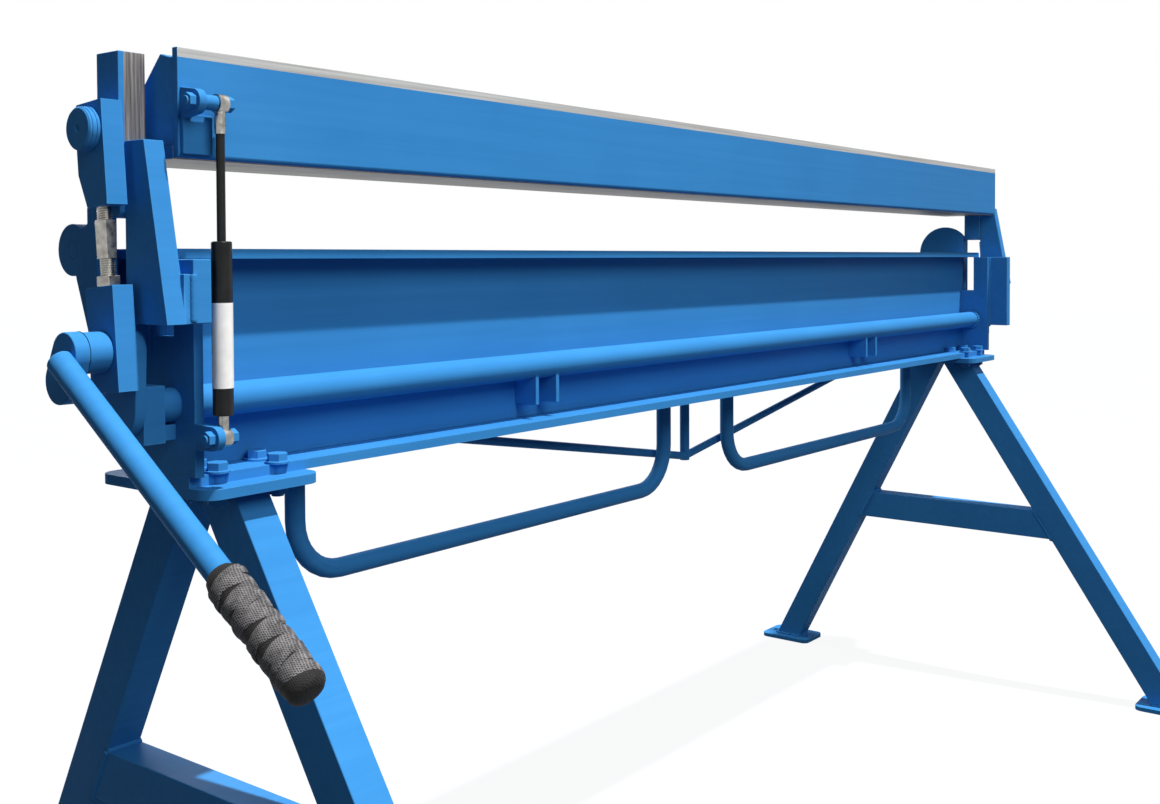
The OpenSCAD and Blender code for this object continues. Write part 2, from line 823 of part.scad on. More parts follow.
module upper_link_left() { color(paint) left() upper_link(); }
module upper_link_right() { color(paint) upper_link(); }
module turnbuckle_left() { color(steel) left() turnbuckle(); }
module turnbuckle_right() { color(steel) turnbuckle(); }
module lower_link_left() { color(paint) left() lower_link(); }
module lower_link_right() { color(paint) lower_link(); }
module link_pin_left() { color(paint) left() link_pin(); }
module link_pin_right() { color(paint) link_pin(); }

// Apron

// the plate's ends are relieved round the hinge pins
module apron_plate() {
  color(paint) difference() {
    box([-apron_x, apron_y0, apron_z0], [apron_x, apron_y0 + apron_t, apron_z1]);
    for (i = [-1, 1]) scale([i, 1, 1])
      xbar(x_eye0 - run_gap, x_eye1 + 1, hinge_y, hinge_z, hinge_d + 2 * run_clr);
  }
}

module apron_lip() {
  color(steel) box([-x_end1, apron_y0 + apron_t, apron_z1 - lip_h],
                   [x_end1, apron_y0 + apron_t + lip_t, apron_z1]);
}

module apron_flange() {
  color(paint) box([-x_end0, aflange_y0, aflange_z0], [x_end0, aflange_y0 + aflange_w, apron_z0]);
}

// bore for the hinge pin, and room for the apron plate that these pieces are welded to
module hinge_room() {
  xbar(x_eye0 - 1, x_eye1 + 1, hinge_y, hinge_z, hinge_d + 2 * run_clr);
  box([x_eye0 - 1, apron_y0, apron_z0 - 10], [x_eye1 + 1, apron_y0 + apron_t, apron_z1]);
}

module apron_eyes() {
  color(paint) for (i = [-1, 1]) scale([i, 1, 1]) difference() {
    xplate(x_eye0 + (i > 0 ? disc_t : 0), x_eye1) hull() {
      translate([hinge_y, hinge_z]) circle(r = eye_r, $fn = 32);
      translate([apron_y0 - 9, hinge_z - eye_drop]) square([9, 10]);
    }
    hinge_room();
  }
}

module angle_disc() {
  color(paint) difference() {
    xplate(x_eye0, x_eye0 + disc_t) intersection() {
      translate([hinge_y, hinge_z]) circle(r = disc_r);
      translate([hinge_y - disc_cut, hinge_z - disc_r]) square(2 * disc_r);
    }
    hinge_room();
  }
}

// one bent tube: rings of points along a route in the XZ plane
function bend_arc(cx, cz, r, a0, n = 8) =
  [for (i = [0 : n]) [cx + r * cos(a0 + i * 90 / n), cz + r * sin(a0 + i * 90 / n), a0 + i * 90 / n + 90]];

module swept_tube(route, y, d, n = 18) {
  m = len(route);
  pts = [for (p = route) for (k = [0 : n - 1])
    [p[0] - d / 2 * cos(k * 360 / n) * sin(p[2]), y + d / 2 * sin(k * 360 / n),
     p[1] + d / 2 * cos(k * 360 / n) * cos(p[2])]];
  sides = [for (i = [0 : m - 2]) for (k = [0 : n - 1]) each
    [[i * n + k, i * n + (k + 1) % n, (i + 1) * n + (k + 1) % n],
     [i * n + k, (i + 1) * n + (k + 1) % n, (i + 1) * n + k]]];
  caps = [for (k = [1 : n - 2]) each [[0, k + 1, k], [(m - 1) * n, (m - 1) * n + k, (m - 1) * n + k + 1]]];
  polyhedron(points = pts, faces = concat(sides, caps));
}

module handle() {
  r = handle_bend;
  route = concat(
    [[handle_in, aflange_z0, 270]],
    bend_arc(handle_in + r, handle_z + r, r, 180),
    bend_arc(handle_out - r, handle_z + r, r, 270),
    [[handle_out, aflange_z0, 450]]);
  swept_tube(route, handle_y, handle_d);
}

module handles() {
  color(paint) {
    handle();
    left() handle();
  }
}

module truss() {
  color(paint) union() {
    translate([0, truss_y, truss_z - 6]) cylinder(h = aflange_z0 - truss_z + 6, d = tpost_d, $fn = 24);
    for (i = [-1, 1])
      rod([0, truss_y, truss_z], [i * truss_out, truss_y, aflange_z0 - rod_d / 2], rod_d);
  }
}

leg_left_rear();
leg_left_front();
leg_right_rear();
leg_right_front();
crossbar_left();
crossbar_right();
top_plate_left();
top_plate_right();
foot_plates();
bed_top_plate();
bed_web();
bed_bottom_flange();
end_plate_left();
end_plate_right();
side_bracket_left();
side_bracket_right();
upright_left();
upright_right();
hinge_arm_left();
hinge_arm_right();
hinge_pins();
tube_supports();
bearing_block_left();
bearing_block_right();
bed_bolts();
spring_lug_lower();
spring_stud_lower();
rod_end_lower();
gas_cylinder();
beam_rear_plate();
beam_shell();
clamp_blade();
beam_end_plates();
guide_bar_left();
guide_bar_right();
spring_bracket_upper();
spring_stud_upper();
rod_end_upper();
gas_rod();
torsion_tube();
crank_webs();
crank_pins();
lever_hub();
lever_tube();
lever_grip();
upper_link_left();
turnbuckle_left();
lower_link_left();
link_pin_left();
upper_link_right();
turnbuckle_right();
lower_link_right();
link_pin_right();
apron_plate();
apron_lip();
apron_flange();
apron_eyes();
angle_disc();
handles();
truss();
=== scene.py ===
"""Roofing sheet metal brake: its looks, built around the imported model. Metres, X along the beams, Z up."""
import json
import math

import bmesh
import bpy
from mathutils import Matrix, Vector


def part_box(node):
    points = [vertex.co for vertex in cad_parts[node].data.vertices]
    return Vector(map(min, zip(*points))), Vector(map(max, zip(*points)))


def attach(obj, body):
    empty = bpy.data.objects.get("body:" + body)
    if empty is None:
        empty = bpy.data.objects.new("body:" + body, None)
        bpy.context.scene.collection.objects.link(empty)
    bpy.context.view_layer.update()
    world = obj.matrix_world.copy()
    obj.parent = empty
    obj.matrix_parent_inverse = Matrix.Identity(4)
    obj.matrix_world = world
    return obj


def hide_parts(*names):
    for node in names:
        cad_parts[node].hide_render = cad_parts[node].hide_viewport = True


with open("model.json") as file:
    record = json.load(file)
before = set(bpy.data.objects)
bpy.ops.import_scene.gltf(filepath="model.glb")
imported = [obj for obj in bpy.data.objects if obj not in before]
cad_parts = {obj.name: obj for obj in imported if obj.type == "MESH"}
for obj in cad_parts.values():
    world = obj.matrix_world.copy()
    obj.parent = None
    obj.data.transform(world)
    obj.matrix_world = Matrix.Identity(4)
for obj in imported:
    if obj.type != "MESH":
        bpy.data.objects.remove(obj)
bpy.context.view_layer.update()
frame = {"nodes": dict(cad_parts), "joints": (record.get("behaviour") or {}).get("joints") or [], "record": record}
scene = bpy.context.scene
scene.view_settings.view_transform = "Standard"
MM = 0.001
MERGE = 0.005 * MM
FULL_TURN = 2 * math.pi
SIDES = {"left": -1, "right": 1}
body_of = {node: body for body, nodes in frame["record"]["behaviour"]["bodies"].items() for node in nodes}
joint_at = {joint["name"]: Vector(joint["pos_m"]) for joint in frame["joints"] if "pos_m" in joint}


# Camera, as the photograph was taken: beside the lever end, on the feed side

IMAGE_WIDTH = 1160
EYE = Vector((-1.7008, -1.0097, 0.8757))
YAW = 0.6587
PITCH = 0.025
ROLL = -0.0046
LENS = 39.66
LENS_RISE = -110 / IMAGE_WIDTH
SENSOR_WIDTH = 36
FARTHEST = 60

ahead = Vector((math.cos(PITCH) * math.cos(YAW), math.cos(PITCH) * math.sin(YAW), -math.sin(PITCH)))
level_right = Vector((math.sin(YAW), -math.cos(YAW), 0))
level_up = level_right.cross(ahead)
right = level_right * math.cos(ROLL) + level_up * math.sin(ROLL)
up = level_up * math.cos(ROLL) - level_right * math.sin(ROLL)
camera = bpy.data.objects.new("camera", bpy.data.cameras.new("camera"))
camera.data.lens = LENS
camera.data.sensor_width = SENSOR_WIDTH
camera.data.shift_y = LENS_RISE
camera.data.clip_end = FARTHEST
camera.matrix_world = Matrix.Translation(EYE) @ Matrix((right, up, -ahead)).transposed().to_4x4()
scene.collection.objects.link(camera)
scene.camera = camera


# Materials

def linear(code):
    """An sRGB hex colour as linear RGBA."""
    parts = [int(code[i:i + 2], 16) / 255 for i in (1, 3, 5)]
    return [c / 12.92 if c <= 0.04045 else ((c + 0.055) / 1.055) ** 2.4 for c in parts] + [1.0]


def feed(tree, node, values, links):
    """Sets the values on a node's sockets and makes the links into them."""
    for name, value in values.items():
        node.inputs[name].default_value = value
    for name, source in links.items():
        tree.links.new(source, node.inputs[name])


def add(tree, kind, values=None, links=None, stops=(), **settings):
    """A node with its settings, its values, its links and the (place, hex) stops of a ramp."""
    node = tree.nodes.new(kind)
    for name, value in settings.items():
        setattr(node, name, value)
    if stops:
        marks = node.color_ramp.elements
        while len(marks) < len(stops):
            marks.new(1.0)
        for mark, (place, code) in zip(marks, stops):
            mark.position = place
            mark.color = linear(code)
    feed(tree, node, values or {}, links or {})
    return node


def material(name):
    """A material with its node tree, its shader and the coordinates that its patterns read."""
    made = bpy.data.materials.new(name)
    made.use_nodes = True
    tree = made.node_tree
    return made, tree, tree.nodes["Principled BSDF"], add(tree, "ShaderNodeTexCoord").outputs["Object"]


def grain(size, detail, rough=0.55):
    """Settings for a noise whose grain is size metres across."""
    return {"Scale": 1 / size, "Detail": detail, "Roughness": rough}


def onto(low, high):
    """Settings that map the middle of a noise's range onto low to high."""
    return {"From Min": 0.3, "From Max": 0.7, "To Min": low, "To Max": high}


def blue_enamel():
    """Air-dried enamel sprayed on hot-rolled steel: satin, faintly uneven, thin on sharp edges."""
    made, tree, shader, place = material("blue_enamel_on_steel")
    coat = add(tree, "ShaderNodeTexNoise", grain(220 * MM, 4), {"Vector": place}).outputs["Fac"]
    along = add(tree, "ShaderNodeMapping", {"Scale": (1 / 40, 1, 1)}, {"Vector": place})
    drawn = add(tree, "ShaderNodeTexNoise", grain(9 * MM, 3), {"Vector": along.outputs["Vector"]})
    mixed = add(tree, "ShaderNodeMix", {"Factor": 0.4}, {"A": coat, "B": drawn.outputs["Fac"]},
                data_type="FLOAT")
    body = add(tree, "ShaderNodeValToRGB", links={"Fac": mixed.outputs["Result"]},
               stops=((0.25, "#317cbd"), (0.55, "#3886c8"), (0.8, "#4190d1")))
    # the coat is thinner, and paler, where the surface turns within 1.6 mm
    rounded = add(tree, "ShaderNodeBevel", {"Radius": 1.6 * MM}, samples=4)
    flat = add(tree, "ShaderNodeNewGeometry")
    bent = add(tree, "ShaderNodeVectorMath", links={0: rounded.outputs["Normal"], 1: flat.outputs["Normal"]},
               operation="DOT_PRODUCT")
    edge = add(tree, "ShaderNodeMapRange",
               {"From Min": 0.985, "From Max": 0.86, "To Min": 0.0, "To Max": 0.4},
               {"Value": bent.outputs["Value"]})
    patchy = add(tree, "ShaderNodeTexNoise", grain(14 * MM, 4, 0.7), {"Vector": place})
    patches = add(tree, "ShaderNodeMapRange",
                  {"From Min": 0.35, "From Max": 0.65, "To Min": 0.3, "To Max": 1.0},
                  {"Value": patchy.outputs["Fac"]})
    worn = add(tree, "ShaderNodeMath", links={0: edge.outputs["Result"], 1: patches.outputs["Result"]},
               operation="MULTIPLY")
    thin = add(tree, "ShaderNodeMix", {"B": linear("#6dbbee")},
               {"Factor": worn.outputs["Value"], "A": body.outputs["Color"]}, data_type="RGBA")
    # the spray's orange peel is about 2 mm across and is drawn at 3 mm so that it shows
    peel = add(tree, "ShaderNodeTexNoise", grain(3 * MM, 2), {"Vector": place})
    rise = add(tree, "ShaderNodeBump", {"Strength": 0.12, "Distance": 0.25 * MM},
               {"Height": peel.outputs["Fac"]})
    gloss = add(tree, "ShaderNodeMapRange", onto(0.5, 0.62), {"Value": coat})
    feed(tree, shader, {"IOR": 1.5, "Specular IOR Level": 0.05},
         {"Base Color": thin.outputs["Result"], "Normal": rise.outputs["Normal"],
          "Roughness": gloss.outputs["Result"]})
    return made


def ground_steel():
    """Bare cold-drawn bar, ground lengthwise and lightly oiled: warm grey, with long dull streaks."""
    made, tree, shader, place = material("ground_bare_steel")
    along = add(tree, "ShaderNodeMapping", {"Scale": (1 / 60, 1, 1)}, {"Vector": place})
    streak = add(tree, "ShaderNodeTexNoise", grain(2.4 * MM, 4, 0.6),
                 {"Vector": along.outputs["Vector"]}).outputs["Fac"]
    stain = add(tree, "ShaderNodeTexNoise", grain(45 * MM, 4, 0.6), {"Vector": place})
    mixed = add(tree, "ShaderNodeMix", {"Factor": 0.5}, {"A": streak, "B": stain.outputs["Fac"]},
                data_type="FLOAT")
    tone = add(tree, "ShaderNodeValToRGB", links={"Fac": mixed.outputs["Result"]},
               stops=((0.3, "#55504c"), (0.5, "#6d6965"), (0.72, "#858280")))
    scratch = add(tree, "ShaderNodeBump", {"Strength": 0.15, "Distance": 0.1 * MM}, {"Height": streak})
    gloss = add(tree, "ShaderNodeMapRange", onto(0.36, 0.52), {"Value": streak})
    feed(tree, shader, {"Metallic": 0.8},
         {"Base Color": tone.outputs["Color"], "Normal": scratch.outputs["Normal"],
          "Roughness": gloss.outputs["Result"]})
    return made


def slide_steel():
    """The guide's sliding face: bare steel rubbed up and down, in dark and pale streaks."""
    made, tree, shader, place = material("rubbed_slide_steel")
    upright = add(tree, "ShaderNodeMapping", {"Scale": (1, 1, 1 / 40)}, {"Vector": place})
    streak = add(tree, "ShaderNodeTexNoise", grain(2.2 * MM, 4, 0.6),
                 {"Vector": upright.outputs["Vector"]}).outputs["Fac"]
    tone = add(tree, "ShaderNodeValToRGB", links={"Fac": streak},
               stops=((0.3, "#5a5856"), (0.5, "#827f7d"), (0.7, "#aba9a8")))
    rub = add(tree, "ShaderNodeBump", {"Strength": 0.12, "Distance": 0.1 * MM}, {"Height": streak})
    gloss = add(tree, "ShaderNodeMapRange", onto(0.32, 0.5), {"Value": streak})
    feed(tree, shader, {"Metallic": 0.7},
         {"Base Color": tone.outputs["Color"], "Normal": rub.outputs["Normal"],
          "Roughness": gloss.outputs["Result"]})
    return made


def bright_steel():
    """Planed bare edge of the beam: pale and matt, with long faint tool marks."""
    made, tree, shader, place = material("planed_bright_steel")
    along = add(tree, "ShaderNodeMapping", {"Scale": (1 / 80, 1, 1)}, {"Vector": place})
    marks = add(tree, "ShaderNodeTexNoise", grain(3 * MM, 4),
                {"Vector": along.outputs["Vector"]}).outputs["Fac"]
    tone = add(tree, "ShaderNodeValToRGB", links={"Fac": marks},
               stops=((0.3, "#9b9a97"), (0.55, "#b3b5b5"), (0.8, "#c8cbcc")))
    gloss = add(tree, "ShaderNodeMapRange", onto(0.4, 0.55), {"Value": marks})
    feed(tree, shader, {"Metallic": 0.6},
         {"Base Color": tone.outputs["Color"], "Roughness": gloss.outputs["Result"]})
    return made


def zinc_plate():
    """Bright zinc on turned steel: silver, with a slight cloudy bloom."""
    made, tree, shader, place = material("zinc_plated_steel")
    bloom = add(tree, "ShaderNodeTexNoise", grain(8 * MM, 4), {"Vector": place}).outputs["Fac"]
    tone = add(tree, "ShaderNodeValToRGB", links={"Fac": bloom},
               stops=((0.3, "#86837d"), (0.55, "#a19f9a"), (0.8, "#bab9b5")))
    gloss = add(tree, "ShaderNodeMapRange", onto(0.22, 0.36), {"Value": bloom})
    feed(tree, shader, {"Metallic": 1.0},
         {"Base Color": tone.outputs["Color"], "Roughness": gloss.outputs["Result"]})
    return made


def black_lacquer():
    """Stoved black lacquer on drawn tube: smooth, with faint dust."""
    made, tree, shader, place = material("stoved_black_lacquer")
    dust = add(tree, "ShaderNodeTexNoise", grain(18 * MM, 5, 0.65), {"Vector": place}).outputs["Fac"]
    tone = add(tree, "ShaderNodeValToRGB", links={"Fac": dust},
               stops=((0.35, "#0d0e0f"), (0.6, "#161718"), (0.85, "#222322")))
    gloss = add(tree, "ShaderNodeMapRange", onto(0.3, 0.45), {"Value": dust})
    feed(tree, shader, {"Specular IOR Level": 0.2},
         {"Base Color": tone.outputs["Color"], "Roughness": gloss.outputs["Result"]})
    return made


def label_film():
    """White vinyl film, bare, with a slight sheen and handling marks."""
    made, tree, shader, place = material("white_vinyl_film")
    marks = add(tree, "ShaderNodeTexNoise", grain(12 * MM, 4), {"Vector": place}).outputs["Fac"]
    tone = add(tree, "ShaderNodeValToRGB", links={"Fac": marks}, stops=((0.3, "#eeeeec"), (0.7, "#fbfbfa")))
    gloss = add(tree, "ShaderNodeMapRange", onto(0.3, 0.4), {"Value": marks})
    feed(tree, shader, {}, {"Base Color": tone.outputs["Color"], "Roughness": gloss.outputs["Result"]})
    return made


# the wave texture repeats about every 0.314 m at a scale of one
WAVE_REPEAT = 0.314


def grip_tape(name, dark, middle, pale):
    """Cotton friction tape, dark grey: a plain weave, paler on its high threads, with dust."""
    made, tree, shader, place = material(name)
    # real threads are about 0.5 mm apart and are drawn 1.4 mm apart so that they show
    threads = {"Scale": WAVE_REPEAT / (1.4 * MM), "Distortion": 2.0, "Detail": 1.0}
    warp = add(tree, "ShaderNodeTexWave", threads, {"Vector": place}, bands_direction="DIAGONAL")
    crossed = add(tree, "ShaderNodeMapping", {"Rotation": (0, 0, math.pi / 2)}, {"Vector": place})
    weft = add(tree, "ShaderNodeTexWave", threads, {"Vector": crossed.outputs["Vector"]},
               bands_direction="DIAGONAL")
    weave = add(tree, "ShaderNodeMath", links={0: warp.outputs["Fac"], 1: weft.outputs["Fac"]},
                operation="MAXIMUM").outputs["Value"]
    dust = add(tree, "ShaderNodeTexNoise", grain(9 * MM, 5, 0.75), {"Vector": place})
    mixed = add(tree, "ShaderNodeMix", {"Factor": 0.62}, {"A": weave, "B": dust.outputs["Fac"]},
                data_type="FLOAT")
    tone = add(tree, "ShaderNodeValToRGB", links={"Fac": mixed.outputs["Result"]},
               stops=((0.3, dark), (0.55, middle), (0.8, pale)))
    cloth = add(tree, "ShaderNodeBump", {"Strength": 0.5, "Distance": 0.4 * MM}, {"Height": weave})
    feed(tree, shader, {"Roughness": 0.85, "Specular IOR Level": 0.25},
         {"Base Color": tone.outputs["Color"], "Normal": cloth.outputs["Normal"]})
    return made


BLUE = blue_enamel()
GROUND = ground_steel()
SLIDE = slide_steel()
BRIGHT = bright_steel()
ZINC = zinc_plate()
BLACK = black_lacquer()
LABEL = label_film()
TAPE = grip_tape("cotton_friction_tape", "#1c1c1d", "#48484a", "#8c8b8e")
# a darker copy of the tape for the grip's core: painted shade in the gaps between the tape strips
GAP_SHADE_TAPE = grip_tape("cotton_tape_painted_gap_shade", "#0e0e0e", "#1c1c1d", "#333334")


# Making pieces

def finished(name, shape, body, finishes, nodes=(), smooth=35):
    """Turns a bmesh into a piece that rides on a body, in place of the nodes it stands for."""
    mesh = bpy.data.meshes.new(name)
    shape.to_mesh(mesh)
    shape.free()
    mesh.shade_smooth()
    mesh.set_sharp_from_angle(angle=math.radians(smooth))
    for finish in finishes:
        mesh.materials.append(finish)
    made = bpy.data.objects.new(name, mesh)
    scene.collection.objects.link(made)
    even = made.modifiers.new("even_shading", "WEIGHTED_NORMAL")
    even.keep_sharp = True
    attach(made, body)
    if nodes:
        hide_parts(*nodes)


def copied(node):
    """The node's own shape as one clean bmesh."""
    shape = bmesh.new()
    shape.from_mesh(frame["nodes"][node].data)
    bmesh.ops.remove_doubles(shape, verts=shape.verts, dist=MERGE)
    bmesh.ops.dissolve_limit(shape, angle_limit=math.radians(1), verts=shape.verts, edges=shape.edges)
    return shape


def rounded_off(shape, edges, width, steps):
    bmesh.ops.bevel(shape, geom=edges, offset=width, affect="EDGES", segments=steps, profile=0.5, material=-1,
                    clamp_overlap=True)


SHARP = math.radians(28)


def ease(shape, width):
    """Rounds every sharp edge a little."""
    sharp = [e for e in shape.edges if len(e.link_faces) == 2 and e.calc_face_angle() > SHARP]
    rounded_off(shape, sharp, width, 2)


def dress(node, finish, width):
    shape = copied(node)
    ease(shape, width)
    finished(node + "_finished", shape, body_of[node], [finish], [node])


# how far each painted node's edges are rounded, in millimetres
PAINTED = {
    "leg_left_rear": 3.0, "leg_left_front": 3.0, "leg_right_rear": 3.0, "leg_right_front": 3.0,
    "crossbar_left": 3.0, "crossbar_right": 3.0, "top_plate_left": 1.2, "top_plate_right": 1.2,
    "foot_plates": 1.2, "bed_top_plate": 1.0, "bed_web": 0.8, "bed_bottom_flange": 1.0,
    "end_plate_left": 1.0, "end_plate_right": 1.0, "side_bracket_left": 1.0, "side_bracket_right": 1.0,
    "upright_left": 1.2, "upright_right": 1.2, "hinge_arm_left": 1.2, "hinge_arm_right": 1.2,
    "tube_supports": 1.0, "bearing_block_left": 1.4, "bearing_block_right": 1.4, "bed_bolts": 0.8,
    "spring_lug_lower": 0.8, "spring_stud_lower": 0.7, "beam_shell": 1.6, "beam_end_plates": 1.0,
    "spring_bracket_upper": 0.8, "spring_stud_upper": 0.7, "torsion_tube": 1.0, "crank_webs": 1.2,
    "lever_hub": 1.2, "lever_tube": 0.8, "upper_link_left": 1.4, "upper_link_right": 1.4,
    "lower_link_left": 1.4, "lower_link_right": 1.4, "apron_plate": 1.0, "apron_flange": 1.0,
    "apron_eyes": 1.0, "angle_disc": 0.8, "handles": 0.8, "truss": 0.8,
}
for node, width in PAINTED.items():
    dress(node, BLUE, width * MM)
for node, finish, width in (
        ("apron_lip", GROUND, 0.8), ("crank_pins", ZINC, 1.0), ("rod_end_lower", ZINC, 0.8),
        ("rod_end_upper", ZINC, 0.8), ("turnbuckle_left", ZINC, 1.0), ("turnbuckle_right", ZINC, 1.0),
        ("gas_cylinder", BLACK, 1.4), ("gas_rod", BLACK, 0.5), ("hinge_pins", BLUE, 0.8)):
    dress(node, finish, width * MM)


# Pieces with a bare face

BARE_EDGE = 9 * MM
FOOT_EASE = 4 * MM
PLATE_EASE = 0.8 * MM
BLADE_EASE = 0.6 * MM
PAINT_LAP = 5.5 * MM
FRONT_DEPTH = 5 * MM


def split(shape, place, normal):
    """Cuts a shape's faces along a plane and keeps both sides."""
    bmesh.ops.bisect_plane(shape, geom=shape.verts[:] + shape.edges[:] + shape.faces[:],
                           plane_co=place, plane_no=normal)


def ease_foot(shape, low, steps):
    """Takes back the lower edge on the feed side, as a chamfer in one step or round in more."""
    foot = [e for e in shape.edges
            if all(abs(v.co.z - low.z) < MM and abs(v.co.y - low.y) < MM for v in e.verts)]
    rounded_off(shape, foot, FOOT_EASE, steps)


def beam_rear_plate():
    """The rear plate keeps a bare planed strip along its top, and its lower edge is rounded."""
    low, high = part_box("beam_rear_plate")
    strip = high.z - BARE_EDGE
    shape = copied("beam_rear_plate")
    split(shape, (0, 0, strip), (0, 0, 1))
    ease_foot(shape, low, 3)
    ease(shape, PLATE_EASE)
    for face in shape.faces:
        bare = face.calc_center_median().z > strip and abs(face.normal.x) < 0.5
        face.material_index = 1 if bare else 0
    finished("beam_rear_plate_finished", shape, "clamp", [BLUE, BRIGHT], ["beam_rear_plate"])


def clamp_blade():
    """The blade is bare, but its ends were painted with the beam's end plates."""
    shape = copied("clamp_blade")
    ease(shape, BLADE_EASE)
    for face in shape.faces:
        face.material_index = 1 if abs(face.normal.x) > 0.7 else 0
    finished("clamp_blade_finished", shape, "clamp", [GROUND, BLUE], ["clamp_blade"])


def guide_bar(side, sign):
    """The bar's feed side face is bare, but for a painted lap along its outer edge."""
    node = "guide_bar_" + side
    low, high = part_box(node)
    outer = low.x if sign < 0 else high.x
    lap = outer - sign * PAINT_LAP
    shape = copied(node)
    split(shape, (lap, 0, 0), (1, 0, 0))
    ease_foot(shape, low, 1)
    ease(shape, PLATE_EASE)
    for face in shape.faces:
        middle = face.calc_center_median()
        front = face.normal.y < -0.6 and middle.y < low.y + FRONT_DEPTH
        face.material_index = 1 if front and (middle.x - lap) * sign < 0 else 0
    finished(node + "_finished", shape, "clamp", [BLUE, SLIDE], [node])


beam_rear_plate()
clamp_blade()
for side, sign in SIDES.items():
    guide_bar(side, sign)


# Link pins, with a flat grooved head

PIN_HEAD = 11 * MM
PIN_RADIUS = 10 * MM
PIN_CHAMFER = 0.8 * MM
PIN_GROOVE = 0.9 * MM
PIN_STEPS = 48


def spun(shape, line, axis, steps):
    """Spins a line of points all the way round an axis through the origin."""
    points = [shape.verts.new(point) for point in line]
    rims = [shape.edges.new(pair) for pair in zip(points, points[1:])]
    bmesh.ops.spin(shape, geom=points + rims, cent=(0, 0, 0), axis=axis, angle=FULL_TURN, steps=steps,
                   use_merge=True, use_duplicate=False)
    bmesh.ops.remove_doubles(shape, verts=shape.verts, dist=MERGE)


def link_pin(side, sign):
    node = "link_pin_" + side
    low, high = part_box(node)
    middle = (low + high) / 2
    wide = (high.z - low.z) / 2
    groove = wide - PIN_GROOVE
    outer = high.x - low.x
    seat = outer - PIN_HEAD
    profile = [(0, 0), (0, PIN_RADIUS - PIN_CHAMFER), (PIN_CHAMFER, PIN_RADIUS), (seat, PIN_RADIUS),
               (seat, wide - PIN_CHAMFER), (seat + PIN_CHAMFER, wide), (seat + 3 * MM, wide),
               (seat + 3.4 * MM, groove), (seat + 4.6 * MM, groove), (seat + 5 * MM, wide),
               (outer - 3.6 * MM, wide), (outer - 3.2 * MM, groove), (outer - 2 * MM, groove),
               (outer - 1.4 * MM, wide - 0.4 * MM), (outer, wide - 2 * MM), (outer, 3.6 * MM),
               (outer - 1 * MM, 2.4 * MM), (outer - 2 * MM, 0)]
    shape = bmesh.new()
    spun(shape, [(sign * along, 0, radius) for along, radius in profile], (1, 0, 0), PIN_STEPS)
    bmesh.ops.recalc_face_normals(shape, faces=shape.faces)
    bmesh.ops.translate(shape, vec=(high.x if sign < 0 else low.x, middle.y, middle.z), verts=shape.verts)
    finished(node + "_finished", shape, "link_" + side, [BLUE], [node])


for side, sign in SIDES.items():
    link_pin(side, sign)


# The lever's grip: a core with three layers of tape wound on it

LEVER_SLOPE = math.radians(34.5)
LEVER_LENGTH = 392 * MM
TUBE_RADIUS = 11 * MM
GRIP_LENGTH = 122 * MM
GRIP_RADIUS = 17 * MM
GRIP_CORE = 14.8 * MM
GRIP_STEPS = 40
TAPE_STEPS = 30
TAPE_FROM = 7 * MM
TAPE_SINK = 0.8 * MM
TAPE_ROLL = 0.7 * MM
TAPE_EDGE = 1.6 * MM
TAPE_CROWN = 0.2 * MM
# turns, pitch, half the width and height: there and back, then a last strip at a looser pitch
TAPE_LAYERS = (
    (6, 17.6 * MM, 4.8 * MM, 1.1 * MM),
    (-6, 17.6 * MM, 4.8 * MM, 1.5 * MM),
    (4, 25.5 * MM, 3.6 * MM, GRIP_RADIUS - GRIP_CORE - TAPE_CROWN),
)


def wound(shape, ring, rise, turns, steps):
    """Winds a closed ring of points round Z as a band that rises by rise each turn."""
    band = shape.faces.new([shape.verts.new(point) for point in ring])
    bmesh.ops.spin(shape, geom=[band], cent=(0, 0, 0), axis=(0, 0, 1), dvec=(0, 0, rise / steps),
                   angle=FULL_TURN * turns, steps=abs(turns * steps), use_merge=False, use_duplicate=False)


def lever_grip():
    start = LEVER_LENGTH - GRIP_LENGTH
    outline = [(start, TUBE_RADIUS), (start + 3 * MM, GRIP_CORE - 1.5 * MM), (start + 9 * MM, GRIP_CORE),
               (LEVER_LENGTH - 10 * MM, GRIP_CORE + 0.6 * MM), (LEVER_LENGTH - 4 * MM, GRIP_CORE),
               (LEVER_LENGTH - 1 * MM, GRIP_CORE - 3 * MM), (LEVER_LENGTH, GRIP_CORE - 7 * MM),
               (LEVER_LENGTH, 0)]
    shape = bmesh.new()
    spun(shape, [(radius, 0, along) for along, radius in outline], (0, 0, 1), GRIP_STEPS)
    # the core, seen only between the tape strips, takes the darker tape as painted shade
    for face in shape.faces:
        face.material_index = 1
    first = start + TAPE_FROM
    sunk = GRIP_CORE - TAPE_SINK
    for turns, pitch, half, depth in TAPE_LAYERS:
        low = first - half
        high = first + half
        proud = GRIP_CORE + depth
        ring = [(sunk, 0, low), (proud - TAPE_ROLL, 0, low), (proud, 0, low + TAPE_EDGE),
                (proud + TAPE_CROWN, 0, first), (proud, 0, high - TAPE_EDGE), (proud - TAPE_ROLL, 0, high),
                (sunk, 0, high)]
        wound(shape, ring, pitch, turns, TAPE_STEPS)
    bmesh.ops.recalc_face_normals(shape, faces=shape.faces)
    tube_low, tube_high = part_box("lever_tube")
    hinge = joint_at["link_left_swing"]
    place = (Matrix.Translation(((tube_low.x + tube_high.x) / 2, hinge.y, hinge.z))
             @ Matrix.Rotation(math.pi / 2 + LEVER_SLOPE, 4, "X"))
    bmesh.ops.transform(shape, matrix=place, verts=shape.verts)
    finished("lever_grip_finished", shape, "crank", [TAPE, GAP_SHADE_TAPE], ["lever_grip"], smooth=50)


lever_grip()


# Gas spring label, left bare

LABEL_TOP = 0.352
LABEL_FOOT = 0.841
LABEL_GAP = 0.25 * MM
LABEL_FILM = 0.3 * MM
LABEL_STEPS = 48


